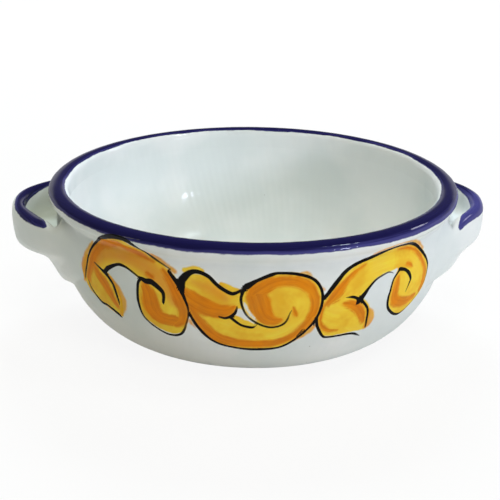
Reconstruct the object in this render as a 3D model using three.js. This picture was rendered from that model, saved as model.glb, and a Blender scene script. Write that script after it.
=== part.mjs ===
// Round two-handled earthenware dish: a thrown bowl, a rolled rim on its wall, and two blind ear handles,
// each stuck to the wall with a layer of slip. Lengths are in millimetres and angles in degrees.
// +Z is up, the origin is the centre of the flat underside, and the handles lie along X.

import * as THREE from 'three';

// Bowl
const BASE_RADIUS = 72;          // flat underside
const BELLY_SWELL = 48.5;        // how far the belly swells out past the underside
const BELLY_HEIGHT = 68;         // underside to where the belly turns upright
const UPRIGHT_HEIGHT = 10;       // short upright wall between the belly and the rolled rim
const WALL_THICKNESS = 7.5;
const FLOOR_THICKNESS = 8;
const FLOOR_INSET = 3;           // edge of the flat inner floor, in from the edge of the underside

// Rolled rim
const ROLL_HEIGHT = 13;          // seat on the wall to the top of the roll
const ROLL_OVERHANG = 4.5;       // how far the roll stands out past the wall
const ROLL_SHOULDER = 4.5;       // crest down to the roll's widest point
const ROLL_LIP = 5.5;            // crest in to the bowl's inner wall, and down to it

// Ear handles
const LEFT_REACH = 30;           // wall out to the strap's outer face, in the middle of the handle
const RIGHT_REACH = 23.5;
const LEFT_CREST_DROP = 4;       // rim's seat down to the strap's crest
const RIGHT_CREST_DROP = 0.5;
const HALF_SPAN = 28;            // half the angle that a handle takes up round the bowl
const STRAP_THICKNESS = 8.4;
const TROUGH_DEPTH = 16;         // crest down to the floor of the finger trough
const FACE_HEIGHT = 20;          // crest down to the foot of the upright outer face
const UNDERSIDE_DROP = 13;       // foot of the face down to the tail, along the sloping underside
const TAIL_THICKNESS = 9;        // tail that is smeared down the wall below the underside
const TAIL_ROUND = 6;            // tip of the tail up to its full thickness
const TAIL_HEIGHT = 36;          // floor of the trough down to the tip of the tail, in the middle
const END_HEIGHT = 22;           // crest down to the tip at the handle's two ends
const END_THICKNESS = 2.5;       // how far the ends stand out from the slip
const TIP_THICKNESS = 1.2;       // blunt edge along the foot of the tail
const LEAST_TROUGH = 0.6;        // step that is left where the trough runs out

// Slip joints
const SLIP_THICKNESS = 0.6;
const SLIP_MARGIN = 0.5;         // edge of the slip, in from the edge of the handle's contact
const JOINT_GAP = 0.3;           // clearance on each side of the slip

// Smoothness
const RING_SEGMENTS = 72;
const ARC_POINTS = 4;
const HANDLE_STATIONS = 24;
const OUTER_STEPS = 16;
const CREST_STEPS = 6;
const CONTACT_STEPS = 8;

// Sizes that follow
const WALL_RADIUS = BASE_RADIUS + BELLY_SWELL;
const INNER_RADIUS = WALL_RADIUS - WALL_THICKNESS;
const FLOOR_RADIUS = BASE_RADIUS - FLOOR_INSET;
const RIM_RADIUS = WALL_RADIUS + ROLL_OVERHANG;
const CREST_RADIUS = INNER_RADIUS + ROLL_LIP;
const SEAT_HEIGHT = BELLY_HEIGHT + UPRIGHT_HEIGHT;
const DISH_HEIGHT = SEAT_HEIGHT + ROLL_HEIGHT;
const CONTACT_OFFSET = 2 * JOINT_GAP + SLIP_THICKNESS;

const HANDLES = [
  { name: 'left', facing: 180, reach: LEFT_REACH, crest: SEAT_HEIGHT - LEFT_CREST_DROP },
  { name: 'right', facing: 0, reach: RIGHT_REACH, crest: SEAT_HEIGHT - RIGHT_CREST_DROP },
];

const { clamp, degToRad, lerp, smoothstep } = THREE.MathUtils;
const QUARTER_TURN = Math.PI / 2;

const whiteGlaze = new THREE.MeshStandardMaterial({ color: 0xeceeec, roughness: 0.15, metalness: 0 });
const blueGlaze = new THREE.MeshStandardMaterial({ color: 0x1f1b5e, roughness: 0.18, metalness: 0 });
const firedSlip = new THREE.MeshStandardMaterial({ color: 0xd2ab84, roughness: 0.85, metalness: 0 });

// Outside radius of the bowl at a height: a quarter ellipse for the belly, upright above it.
function wallRadius(height) {
  const rise = clamp(height / BELLY_HEIGHT, 0, 1);
  return BASE_RADIUS + BELLY_SWELL * Math.sqrt(1 - (1 - rise) ** 2);
}

// Solid of revolution about +Z from a profile of radius and height, anticlockwise round the material.
function turned(profile) {
  const points = profile.getPoints(ARC_POINTS);
  return new THREE.LatheGeometry(points, RING_SEGMENTS).rotateX(QUARTER_TURN);
}

// Closed solid through matching loops of radius and height, anticlockwise, set at rising angles about +Z.
function lofted(loops, angles) {
  const size = loops[0].length;
  const last = (loops.length - 1) * size;
  const positions = loops.flatMap((loop, station) => loop.flatMap((point) => [
    point.x * Math.cos(angles[station]),
    point.x * Math.sin(angles[station]),
    point.y,
  ]));
  const triangles = [];
  for (let row = 0; row < last; row += size) {
    for (let step = 0; step < size; step += 1) {
      const here = row + step;
      const next = row + (step + 1) % size;
      triangles.push(here, here + size, next);
      triangles.push(next, here + size, next + size);
    }
  }
  for (const [a, b, c] of THREE.ShapeUtils.triangulateShape(loops[0], [])) {
    triangles.push(a, b, c);
  }
  for (const [a, b, c] of THREE.ShapeUtils.triangulateShape(loops.at(-1), [])) {
    triangles.push(last + a, last + c, last + b);
  }
  const geometry = new THREE.BufferGeometry();
  geometry.setAttribute('position', new THREE.Float32BufferAttribute(positions, 3));
  geometry.setIndex(triangles);
  geometry.computeVertexNormals();
  return geometry;
}

// Places along a handle from one end to the other, as -1 to 1, with their angles about +Z.
function handleStations(handle) {
  const places = Array.from({ length: HANDLE_STATIONS + 1 }, (_, i) => lerp(-1, 1, i / HANDLE_STATIONS));
  const angles = places.map((place) => degToRad(handle.facing + HALF_SPAN * place));
  return { places, angles };
}

// Main heights and offsets from the wall of a handle's section. They swell from the ends to the middle.
function handleSizes(handle, place) {
  const swell = Math.cos(place * QUARTER_TURN);
  const reach = lerp(CONTACT_OFFSET + END_THICKNESS, handle.reach, swell);
  const inner = Math.max(reach - STRAP_THICKNESS, CONTACT_OFFSET + LEAST_TROUGH);
  const round = (reach - inner) / 2;
  return {
    reach,
    inner,
    round,
    tail: lerp(CONTACT_OFFSET + TIP_THICKNESS, CONTACT_OFFSET + TAIL_THICKNESS, swell),
    shoulder: handle.crest - round,
    floor: handle.crest - lerp(round + LEAST_TROUGH, TROUGH_DEPTH, swell),
    face: handle.crest - lerp(round, FACE_HEIGHT, swell),
    tip: handle.crest - lerp(END_HEIGHT, TROUGH_DEPTH + TAIL_HEIGHT, swell),
  };
}

// Handle section: up the tail, out along the underside, up the face, over the round crest, down into the
// trough, and down the wall.
function handleLoop(handle, place) {
  const { reach, inner, round, tail, shoulder, floor, face, tip } = handleSizes(handle, place);
  const tipOffset = CONTACT_OFFSET + TIP_THICKNESS;
  const loop = [];
  for (let i = 0; i < OUTER_STEPS; i += 1) {
    const height = lerp(tip, shoulder, i / OUTER_STEPS);
    const tailOffset = lerp(tipOffset, tail, smoothstep(height, tip, tip + TAIL_ROUND));
    const offset = lerp(tailOffset, reach, smoothstep(height, face - UNDERSIDE_DROP, face));
    loop.push(new THREE.Vector2(wallRadius(height) + offset, height));
  }
  const middle = wallRadius(shoulder) + reach - round;
  for (let i = 0; i <= CREST_STEPS; i += 1) {
    const turn = Math.PI * i / CREST_STEPS;
    loop.push(new THREE.Vector2(middle + round * Math.cos(turn), shoulder + round * Math.sin(turn)));
  }
  loop.push(new THREE.Vector2(wallRadius(floor) + inner, floor));
  for (let i = 0; i <= CONTACT_STEPS; i += 1) {
    const height = lerp(floor, tip, i / CONTACT_STEPS);
    loop.push(new THREE.Vector2(wallRadius(height) + CONTACT_OFFSET, height));
  }
  return loop;
}

// Slip section: a thin layer that follows the wall under the whole of the handle's contact.
function slipLoop(handle, place) {
  const { floor, tip } = handleSizes(handle, place);
  const heights = Array.from({ length: CONTACT_STEPS + 1 }, (_, i) => (
    lerp(tip + SLIP_MARGIN, floor - SLIP_MARGIN, i / CONTACT_STEPS)
  ));
  const outside = heights.map((height) => (
    new THREE.Vector2(wallRadius(height) + JOINT_GAP + SLIP_THICKNESS, height)
  ));
  const inside = heights.map((height) => new THREE.Vector2(wallRadius(height) + JOINT_GAP, height));
  return [...outside, ...inside.reverse()];
}

// Bowl: flat underside, belly, upright wall, flat seat for the rim, then down inside to the floor.
function bowlGeometry() {
  const profile = new THREE.Path();
  profile.moveTo(0, 0);
  profile.lineTo(BASE_RADIUS, 0);
  profile.absellipse(BASE_RADIUS, BELLY_HEIGHT, BELLY_SWELL, BELLY_HEIGHT, -QUARTER_TURN, 0, false);
  profile.lineTo(WALL_RADIUS, SEAT_HEIGHT);
  profile.lineTo(INNER_RADIUS, SEAT_HEIGHT);
  profile.lineTo(INNER_RADIUS, BELLY_HEIGHT);
  const innerSwell = INNER_RADIUS - FLOOR_RADIUS;
  const innerDepth = BELLY_HEIGHT - FLOOR_THICKNESS;
  profile.absellipse(FLOOR_RADIUS, BELLY_HEIGHT, innerSwell, innerDepth, 0, -QUARTER_TURN, true);
  profile.lineTo(0, FLOOR_THICKNESS);
  return turned(profile);
}

// Rim: flat seat, a soft cove out to the widest point, a round over the crest, and the inner wall.
function rimGeometry() {
  const widest = DISH_HEIGHT - ROLL_SHOULDER;
  const halfway = (SEAT_HEIGHT + widest) / 2;
  const crestOut = RIM_RADIUS - CREST_RADIUS;
  const profile = new THREE.Path();
  profile.moveTo(INNER_RADIUS, SEAT_HEIGHT);
  profile.lineTo(WALL_RADIUS, SEAT_HEIGHT);
  profile.bezierCurveTo(WALL_RADIUS, halfway, RIM_RADIUS, halfway, RIM_RADIUS, widest);
  profile.absellipse(CREST_RADIUS, widest, crestOut, ROLL_SHOULDER, 0, QUARTER_TURN, false);
  profile.absellipse(CREST_RADIUS, DISH_HEIGHT - ROLL_LIP, ROLL_LIP, ROLL_LIP, QUARTER_TURN, Math.PI, false);
  profile.lineTo(INNER_RADIUS, SEAT_HEIGHT);
  return turned(profile);
}

function piece(name, geometry, material) {
  const mesh = new THREE.Mesh(geometry, material);
  mesh.name = name;
  return mesh;
}

const dish = new THREE.Group();
dish.add(piece('bowl_body', bowlGeometry(), whiteGlaze));
dish.add(piece('rim_roll', rimGeometry(), blueGlaze));
for (const handle of HANDLES) {
  const { places, angles } = handleStations(handle);
  const handleLoops = places.map((place) => handleLoop(handle, place));
  const slipLoops = places.map((place) => slipLoop(handle, place));
  dish.add(piece(`${handle.name}_handle`, lofted(handleLoops, angles), whiteGlaze));
  dish.add(piece(`${handle.name}_slip_joint`, lofted(slipLoops, angles), firedSlip));
}

export default dish;
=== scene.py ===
# %% [markdown]
# # A painted two-handled dish
# A round earthenware bowl, thrown on a wheel, dipped in white tin glaze and painted by hand: a dark blue
# rolled rim, a blue stroke along each of two ear handles, and a yellow and orange scroll with black lines.
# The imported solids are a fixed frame. They could be dressed as they are, but their facets and joints would
# show, so each surface is worked out again, finer, from the sizes that the solids give.

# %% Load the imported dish
import math

import bpy
import numpy as np
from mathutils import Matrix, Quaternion, Vector


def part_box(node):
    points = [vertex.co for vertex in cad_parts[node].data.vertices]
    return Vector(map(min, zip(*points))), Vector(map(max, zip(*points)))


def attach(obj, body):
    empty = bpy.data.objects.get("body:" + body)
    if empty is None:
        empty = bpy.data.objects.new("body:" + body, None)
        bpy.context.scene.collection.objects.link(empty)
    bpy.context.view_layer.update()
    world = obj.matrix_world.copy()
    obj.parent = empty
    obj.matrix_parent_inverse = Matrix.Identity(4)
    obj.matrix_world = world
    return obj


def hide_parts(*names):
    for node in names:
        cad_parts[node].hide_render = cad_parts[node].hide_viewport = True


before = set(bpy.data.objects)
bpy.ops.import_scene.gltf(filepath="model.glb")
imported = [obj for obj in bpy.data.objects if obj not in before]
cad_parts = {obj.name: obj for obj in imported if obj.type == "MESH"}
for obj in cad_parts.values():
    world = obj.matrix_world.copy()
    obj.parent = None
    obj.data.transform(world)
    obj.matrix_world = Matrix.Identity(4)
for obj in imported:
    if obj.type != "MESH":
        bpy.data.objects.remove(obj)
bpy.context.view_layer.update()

MM = 0.001

# %% [markdown]
# ## Sizes
# A potter would take a few sizes off the dish with callipers: the foot, the belly, the wall and the rim.
# Here they are read off the corners of the solids, so that the surfaces follow if the solids change.
# From here on, lengths are in millimetres and an angle is measured round the dish from its painted front,
# growing towards the right handle. Heights are measured from the table.


# %% Measure the solids
def turned_corners(node):
    """Radius and height of a node's corners: the root of x squared plus y squared, and z."""
    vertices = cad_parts[node].data.vertices
    flat = np.empty(len(vertices) * 3, np.float32)
    vertices.foreach_get("co", flat)
    x, y, z = flat.reshape(-1, 3).T / MM
    return np.hypot(x, y), z


CLOSE = 0.01
body_r, body_z = turned_corners("bowl_body")
roll_r, roll_z = turned_corners("rim_roll")
BASE_RADIUS = body_r[body_z < CLOSE].max()
WALL_RADIUS = body_r.max()
SEAT_HEIGHT = body_z.max()
INNER_RADIUS = body_r[body_z > SEAT_HEIGHT - CLOSE].min()
BELLY_HEIGHT = body_z[body_r > WALL_RADIUS - CLOSE].min()
FLOOR_HEIGHT = body_z[(body_r < CLOSE) & (body_z > CLOSE)].min()
FLOOR_RADIUS = body_r[abs(body_z - FLOOR_HEIGHT) < CLOSE].max()
RIM_RADIUS = roll_r.max()
DISH_HEIGHT = roll_z.max()
CREST_RADIUS = roll_r[roll_z > DISH_HEIGHT - CLOSE].min()
WIDEST_HEIGHT = roll_z[roll_r > RIM_RADIUS - CLOSE].max()
LEFT_REACH = -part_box("left_handle")[0].x / MM - WALL_RADIUS
RIGHT_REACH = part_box("right_handle")[1].x / MM - WALL_RADIUS
LEFT_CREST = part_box("left_handle")[1].z / MM
RIGHT_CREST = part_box("right_handle")[1].z / MM
print("foot, wall and rim radius:", BASE_RADIUS, WALL_RADIUS, RIM_RADIUS, "height:", DISH_HEIGHT)
print("reach of the handles:", round(LEFT_REACH, 1), round(RIGHT_REACH, 1))

# %% [markdown]
# ## The thrown outline
# On the wheel, one curve turned about the axis makes the whole dish. A lathe modifier could do this, but
# the paint needs a fine grid on the front and the back only, so the outline is worked out as rows of radius
# and height, and turned by hand. The bowl and the rim share it, and meet without a step at the rim's seat.


# %% Curves for the outlines
def blend(start, end, share):
    """Straight line between two values: the start plus a share of the way to the end."""
    return start + (end - start) * share


def ease(value, start, end):
    """Smooth step on an array: three times the square of the share less twice its cube."""
    share = np.clip((value - start) / (end - start), 0, 1)
    return share * share * (3 - 2 * share)


def swelling(share):
    """Quarter ellipse, steep at 0 and level at 1: the root of one less the square of what is left."""
    return np.sqrt(1 - (1 - share) ** 2)


print("halfway along, the step and the swell are at:", ease(0.5, 0, 1), round(float(swelling(0.5)), 3))

# %% Outline of the bowl and the rim
COVE_STEPS = 200


def outside_radius(height):
    """Outside of the dish: the foot plus the swell times a quarter ellipse, then upright, then a cubic
    cove from the wall to the widest point of the rim, then a quarter ellipse in to the crest."""
    height = np.asarray(height, float)
    belly = blend(BASE_RADIUS, WALL_RADIUS, swelling(np.clip(height / BELLY_HEIGHT, 0, 1)))
    share = np.linspace(0, 1, COVE_STEPS)
    halfway = (SEAT_HEIGHT + WIDEST_HEIGHT) / 2
    cove_z = SEAT_HEIGHT * (1 - share) ** 3 + 3 * halfway * share * (1 - share) + WIDEST_HEIGHT * share**3
    cove = np.interp(height, cove_z, blend(WALL_RADIUS, RIM_RADIUS, ease(share, 0, 1)))
    over = np.clip((height - WIDEST_HEIGHT) / (DISH_HEIGHT - WIDEST_HEIGHT), 0, 1)
    top = blend(CREST_RADIUS, RIM_RADIUS, np.sqrt(1 - over**2))
    return np.where(height < SEAT_HEIGHT, belly, np.where(height < WIDEST_HEIGHT, cove, top))


def inside_radius(height):
    """Inside of the bowl: the floor's radius plus a quarter ellipse, then upright."""
    rise = np.clip((np.asarray(height, float) - FLOOR_HEIGHT) / (BELLY_HEIGHT - FLOOR_HEIGHT), 0, 1)
    return blend(FLOOR_RADIUS, INNER_RADIUS, swelling(rise))


half_height = DISH_HEIGHT / 2
wall_there = outside_radius(half_height) - inside_radius(half_height)
print("wall at half height in mm:", round(float(wall_there), 1))


# %% Rows up, over and down the bowl
def running_length(rows):
    """Length of an outline up to each of its rows: the sum of the straight steps before it."""
    return np.concatenate([[0], np.cumsum(np.hypot(*np.diff(rows, axis=0).T))])


def evenly(radius, height, spacing):
    """Points about a spacing apart along a fine outline: places at equal steps of its running length."""
    run = running_length(np.stack([radius, height], 1))
    places = np.linspace(0, run[-1], max(2, math.ceil(run[-1] / spacing) + 1))
    return np.stack([np.interp(places, run, radius), np.interp(places, run, height)], 1)


def joined(stretches):
    """One outline from stretches that each start where the last one ended."""
    return np.vstack([stretches[0]] + [stretch[1:] for stretch in stretches[1:]])


PAINT_SPACING = 0.9
PLAIN_SPACING = 3.0
FLAT_SPACING = 8.0
PAINT_FLOOR = 20.0
FINE_STEPS = 600
turn = np.linspace(0, np.pi / 2, FINE_STEPS)
low_z = PAINT_FLOOR * (1 - np.cos(turn))
paint_z = np.linspace(PAINT_FLOOR, SEAT_HEIGHT, FINE_STEPS)
inner_z = blend(FLOOR_HEIGHT, SEAT_HEIGHT, np.cos(turn))
bowl_stretches = [
    evenly(np.array([0, BASE_RADIUS]), np.zeros(2), FLAT_SPACING),
    evenly(outside_radius(low_z), low_z, PLAIN_SPACING),
    evenly(outside_radius(paint_z), paint_z, PAINT_SPACING),
    evenly(np.array([WALL_RADIUS, INNER_RADIUS]), np.full(2, SEAT_HEIGHT), PLAIN_SPACING),
    evenly(inside_radius(inner_z), inner_z, PLAIN_SPACING),
    evenly(np.array([FLOOR_RADIUS, 0]), np.full(2, FLOOR_HEIGHT), FLAT_SPACING),
]
BOWL_ROWS = joined(bowl_stretches)
print("rows up, over and down the bowl:", len(BOWL_ROWS))

# %% Outline of the rolled rim
cove_z = np.linspace(SEAT_HEIGHT, WIDEST_HEIGHT, FINE_STEPS)
over_z = blend(WIDEST_HEIGHT, DISH_HEIGHT, np.sin(turn))
lip = CREST_RADIUS - INNER_RADIUS
lip_z = DISH_HEIGHT - lip
rim_stretches = [
    evenly(outside_radius(cove_z), cove_z, PAINT_SPACING),
    evenly(blend(CREST_RADIUS, RIM_RADIUS, np.cos(turn)), over_z, PAINT_SPACING),
    evenly(CREST_RADIUS - lip * np.sin(turn), lip_z + lip * np.cos(turn), PAINT_SPACING),
    evenly(np.full(2, INNER_RADIUS), np.array([lip_z, SEAT_HEIGHT]), PLAIN_SPACING),
    evenly(np.array([INNER_RADIUS, WALL_RADIUS]), np.full(2, SEAT_HEIGHT), PLAIN_SPACING)[:-1],
]
RIM_ROWS = joined(rim_stretches)
print("rows round the rim's section:", len(RIM_ROWS))

# %% [markdown]
# ## Columns and the hand of the potter
# The columns are close together where there is paint, and further apart behind the handles.
# No thrown dish is a perfect circle: it warps a little as it dries, and the hands leave shallow hills and
# hollows on which highlights waver. Noise could do both, but a warp is slow and smooth, and clay is thrown
# in spirals. So two waves round the dish warp it, and crossing spirals make hills a tenth of a millimetre
# high. The foot stays flat and round.


# %% Columns and warp
PAINT_HALF_ANGLE = math.radians(62)
SIDE_COLUMNS = 26
PAINT_COLUMNS = math.ceil(2 * PAINT_HALF_ANGLE * WALL_RADIUS / PAINT_SPACING)
side = np.linspace(PAINT_HALF_ANGLE, np.pi - PAINT_HALF_ANGLE, SIDE_COLUMNS, endpoint=False)
painted = np.linspace(-PAINT_HALF_ANGLE, PAINT_HALF_ANGLE, PAINT_COLUMNS, endpoint=False)
ANGLES = np.concatenate([side - np.pi, painted, side, painted + np.pi])
# waves round the dish, outwards and upwards: size in millimetres, number and start
WARP_OUT = [(0.25, 2, 0.7), (0.125, 3, 2.1)]
WARP_UP = [(0.3, 1, -1.0), (0.18, 2, 0.4)]
HAND_WAVE = 0.1
RIPPLE_SHARE = 0.7
WAVE_FROM, WAVE_FULL = 4.0, 30.0
# two spirals that cross: waves round the dish, and radians of climb to a millimetre
HAND_SPIRALS = [(19, 0.30), (31, -0.22)]
RIPPLE_SPIRALS = [(83, 0.50), (61, -0.75)]


def waves_round(waves, angle, shape=np.cos):
    """Sum of waves round the dish, each with its own size, number and start."""
    return sum(size * shape(number * angle + start) for size, number, start in waves)


def crossed(spirals, angle, height):
    """Net of hills and hollows: the sine of one spiral times the cosine of the other."""
    first, second = (waves * angle + climb * height for waves, climb in spirals)
    return np.sin(first) * np.cos(second)


def placed(radius, angle, height):
    """Points of the warped dish: x is radius times sine, y is minus radius times cosine. Both waves of
    the warp grow from nothing at the foot to their full size at the rim. The hills of the hand are 20 to
    40 mm long, with finer ripples towards the front and the back."""
    share = np.clip(height / DISH_HEIGHT, 0, 1) ** 2
    ripple = RIPPLE_SHARE * np.abs(np.cos(angle)) * crossed(RIPPLE_SPIRALS, angle, height)
    hand = HAND_WAVE * (crossed(HAND_SPIRALS, angle, height) + ripple)
    hand = hand * np.clip((height - WAVE_FROM) / (WAVE_FULL - WAVE_FROM), 0, 1)
    out = radius + share * waves_round(WARP_OUT, angle) + hand
    up = height + share * waves_round(WARP_UP, angle)
    return np.stack([out * np.sin(angle), -out * np.cos(angle), up], -1)


print("columns round the dish:", len(ANGLES))

# %% [markdown]
# ## From grids to meshes
# A grid surface is a table of points. Each small square of it is one face, named by the numbers of its
# corners. The table becomes a mesh in one go, with its paint measures as attributes on the points, and a
# flat plan of the faces, so that the finish can be laid out on a square when the model leaves Blender.


# %% Grid helpers
def turned_grid(rows):
    """Radius, angle and height of every point of an outline's rows turned through the columns."""
    radius, angle = np.meshgrid(rows[:, 0], ANGLES, indexing="ij")
    return radius, angle, np.repeat(rows[:, 1:], len(ANGLES), axis=1)


def grid_squares(rows, columns, wrap_rows, wrap_columns):
    """Row and column numbers of every square's four corners, anticlockwise as seen from outside."""
    row = np.arange(rows if wrap_rows else rows - 1)
    column = np.arange(columns if wrap_columns else columns - 1)
    row, column = np.meshgrid(row, column, indexing="ij")
    corner_rows = np.stack([row, row, row + 1, row + 1], -1).reshape(-1, 4)
    corner_columns = np.stack([column, column + 1, column + 1, column], -1).reshape(-1, 4)
    return corner_rows, corner_columns


print("squares of a 3 by 4 grid:", len(grid_squares(3, 4, False, False)[0]))

# %% From a table to a piece
SHARP_ANGLE = math.radians(45)


def add_object(name, data):
    """New object that shows some data in the scene."""
    made = bpy.data.objects.new(name, data)
    bpy.context.scene.collection.objects.link(made)
    return made


def make_piece(name, points, faces, plan, measures, material):
    """Mesh object from points in millimetres, arrays of faces and of their corners' places on the plan."""
    mesh = bpy.data.meshes.new(name)
    mesh.from_pydata((points * MM).tolist(), [], [face for group in faces for face in group.tolist()])
    flat_plan = np.vstack([group.reshape(-1, 2) for group in plan])
    mesh.uv_layers.new(name="OFBake").data.foreach_set("uv", flat_plan.astype(np.float32).ravel())
    for label, values in measures.items():
        attribute = mesh.attributes.new(label, "FLOAT", "POINT")
        attribute.data.foreach_set("value", np.asarray(values, np.float32).ravel())
    mesh.shade_smooth()
    mesh.set_sharp_from_angle(angle=SHARP_ANGLE)
    mesh.materials.append(material)
    piece = add_object(name, mesh)
    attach(piece, "root")
    print(name, "has", len(mesh.polygons), "faces")
    return piece


print("edges sharper than this stay sharp, in degrees:", round(math.degrees(SHARP_ANGLE)))

# %% [markdown]
# ## The brush
# A painted line is the path of a brush, wider where it is pressed. The path could be drawn as a curve
# object, but the paint has to lie in the glaze, not on it. So each stroke is kept as a few points of its
# path, in millimetres across the front and up the wall, each with half the width of the line there.
# Every point of the wall then measures how far it is from the stroke, and the finish reads that measure.


# %% Stroke geometry
CURVE_STEPS = 6
THINNEST = 0.25
TINY = 1e-12


def smooth_path(points, closed=False):
    """Cubic through the points: it leaves each one along the line that joins its two neighbours."""
    points = np.asarray(points, float)
    before = points[-1:] if closed else 2 * points[:1] - points[1:2]
    after = points[:2] if closed else 2 * points[-1:] - points[-2:-1]
    padded = np.vstack([before, points, after])
    a, b, c, d = (padded[k : len(padded) - 3 + k, None] for k in range(4))
    t = (np.arange(CURVE_STEPS) / CURVE_STEPS)[None, :, None]
    curve = b + t / 2 * (c - a + t * (2 * a - 5 * b + 4 * c - d + t * (3 * b - 3 * c + d - a)))
    curve = curve.reshape(-1, points.shape[1])
    return np.vstack([curve, points[:1] if closed else points[-1:]])


def on_wall(across, up):
    """Place on the unwarped outside for a distance across the front and a height."""
    angle = across / WALL_RADIUS
    radius = outside_radius(up)
    return np.stack([radius * np.sin(angle), -radius * np.cos(angle), up], -1)


def stroke_measures(places, path, half):
    """For each place: distance past the stroke's edge, signed distance from its middle line, half the
    stroke's width there, and the length run along it. The nearest link of the path decides."""
    start = path[:-1]
    link = np.diff(path, axis=0)
    length = np.linalg.norm(link, axis=1)
    run = np.concatenate([[0], np.cumsum(length)[:-1]])
    reach = places[:, None] - start
    share = np.clip((reach * link).sum(-1) / length**2, 0, 1)
    distance = np.linalg.norm(reach - share[..., None] * link, axis=-1)
    width = half[:-1] + np.diff(half) * share
    pick = np.argmin(distance - width, axis=1)[:, None]
    outward = places * np.array([1, 1, 0])
    turned = (np.cross(np.broadcast_to(link, reach.shape), reach) * outward[:, None]).sum(-1)

    def take(values):
        return np.take_along_axis(values, pick, 1)[:, 0]

    middle = take(distance) * np.sign(take(turned) + TINY)
    return take(distance - width), middle, take(width), take(run + length * share)


print("places on a smoothed line of three points:", len(smooth_path([(0, 0), (1, 1), (2, 0)])))

# %% [markdown]
# ## The scroll
# The front carries a scroll of leaves and volutes, as painted on tin-glazed ware for centuries.
# The black lines came last, over the yellow and orange washes. Each line below is a list of points:
# millimetres to the right of the middle, height, and half the width of the line.

# %% Black lines of the scroll
BLACK_LINES = [
    # left volute: over the top, down its flank and round, the curl, the inner arch, the leaf's vein and edge
    [(-110, 52, 0.6), (-107.5, 58, 0.7), (-101.5, 71, 0.8), (-93.5, 79.5, 0.9), (-84.5, 84.5, 1.4),
     (-77, 87, 1.4), (-69, 87, 1.1), (-62, 84, 1.0), (-55, 79, 0.7), (-44, 73.5, 0.4)],
    [(-45, 72, 0.9), (-40, 66, 1.4), (-36, 57, 0.9), (-34.5, 50.5, 0.6), (-36, 43, 0.5), (-40.5, 34, 0.8),
     (-48.5, 31.5, 0.8), (-57.5, 35, 0.7), (-64, 41.5, 0.7), (-65.5, 51, 0.9), (-64.5, 61, 0.9),
     (-62.5, 65, 0.9)],
    [(-62.5, 65, 1.1), (-59, 64, 1.7), (-55, 64, 1.8), (-49.5, 60, 1.3), (-48.5, 57, 1.0), (-49, 53, 0.8)],
    [(-88.5, 62.5, 1.5), (-85.5, 65.5, 1.4), (-79, 69, 0.9), (-75, 69.5, 0.9), (-70.5, 68.5, 0.7),
     (-63, 65, 0.6)],
    [(-97.5, 65, 0.5), (-88.5, 61, 1.0), (-85, 58.5, 1.0), (-82.5, 54.5, 1.0), (-81, 47, 0.8),
     (-81, 44, 0.5)],
    [(-107, 51, 0.4), (-105.5, 46.5, 0.7), (-98.5, 40, 1.0), (-93, 39.5, 0.9), (-85.5, 36.5, 1.2),
     (-83.5, 35, 1.0)],
    # middle: the leaf's crest, the great curve, the curl inside it, and three short strokes
    [(-38, 64, 2.3), (-37, 69, 2.3), (-31, 74, 1.4), (-23.5, 72.5, 1.1), (-17.5, 67, 1.1),
     (-11.5, 63.5, 1.1), (-8.5, 63.5, 1.0), (-4.5, 66, 0.6)],
    [(-2.5, 67.5, 1.9), (3, 71, 1.0), (10, 74, 1.1), (14.5, 75, 0.8), (24, 74, 0.9), (33, 70.5, 0.9),
     (38, 63.5, 0.9), (38.5, 54, 0.9), (35, 44, 0.8), (27.5, 35, 0.8), (17.5, 28, 0.9), (4, 26.5, 1.1),
     (-9.5, 27.5, 0.8), (-21, 31, 0.9), (-29, 39, 1.0), (-34, 48.5, 0.9)],
    [(-3.5, 67, 1.0), (-5.5, 59.5, 0.8), (-2.5, 50.5, 0.6), (4, 45, 0.7), (11.5, 42.5, 0.7),
     (18.5, 45, 0.7), (21.5, 52.5, 0.3)],
    [(-17, 48.5, 0.6), (-13.5, 48, 0.8), (-9, 51, 0.9), (-7.5, 55, 0.5)],
    [(-11, 48.5, 0.9), (-5.5, 44, 0.8), (0.5, 42.5, 0.8), (2.5, 43.5, 0.4)],
    [(29, 39.5, 0.5), (26.5, 35.5, 0.5)],
    # right volute: over the top and round, the curl, the inner arch, the tail and the leaf's lower edge
    [(40.5, 59.5, 1.3), (46, 66.5, 1.4), (52, 73, 1.2), (60, 76.5, 1.0), (70.5, 78.5, 1.0),
     (82, 80.5, 1.0), (94.5, 80, 0.9), (102.5, 77.3, 1.0), (109, 72.2, 1.0), (115, 66.5, 0.9),
     (118.8, 61, 0.7), (120, 55.5, 0.5), (119, 50.5, 0.35), (115.8, 45, 0.3), (110.5, 39.8, 0.3),
     (105, 36.6, 0.45), (99, 34.8, 0.8), (92.5, 37, 0.9), (85.5, 42.8, 0.9), (83.5, 48.7, 0.9),
     (83.8, 54.5, 0.8), (85.2, 61, 0.7), (89, 65.3, 0.8)],
    [(90, 66.2, 1.2), (95, 64.3, 1.0), (99, 60.7, 1.2), (100.8, 57, 0.9), (99.8, 53.5, 0.6),
     (98.5, 50, 0.3)],
    [(84, 65.5, 0.3), (80.5, 66.6, 0.5), (75.8, 65.6, 0.6), (71.5, 64, 0.7), (67.5, 60.5, 1.0),
     (64.5, 56.7, 1.5), (62, 53.8, 1.9), (61, 52.5, 1.3)],
    [(53.5, 57, 0.4), (57.5, 56.6, 0.9), (62.5, 53.8, 0.9), (67, 49.4, 0.8), (69.2, 45.4, 0.8),
     (70, 40.4, 0.8), (71.2, 34, 0.6)],
    [(36.2, 46.9, 1.0), (37.8, 40.7, 0.9), (42.2, 33.5, 0.8), (46, 32, 0.8), (52.5, 31.7, 0.8),
     (58.5, 31.7, 0.9), (64, 30.7, 0.9), (69, 28, 0.4)],
]
print("black lines:", len(BLACK_LINES))

# %% [markdown]
# The yellow was laid first, as broad patches that nearly fill the lines. Each patch is an outline. A few
# spots inside stay bare. The brush went along the bands, so its paths are kept too, for the streaks.

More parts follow.
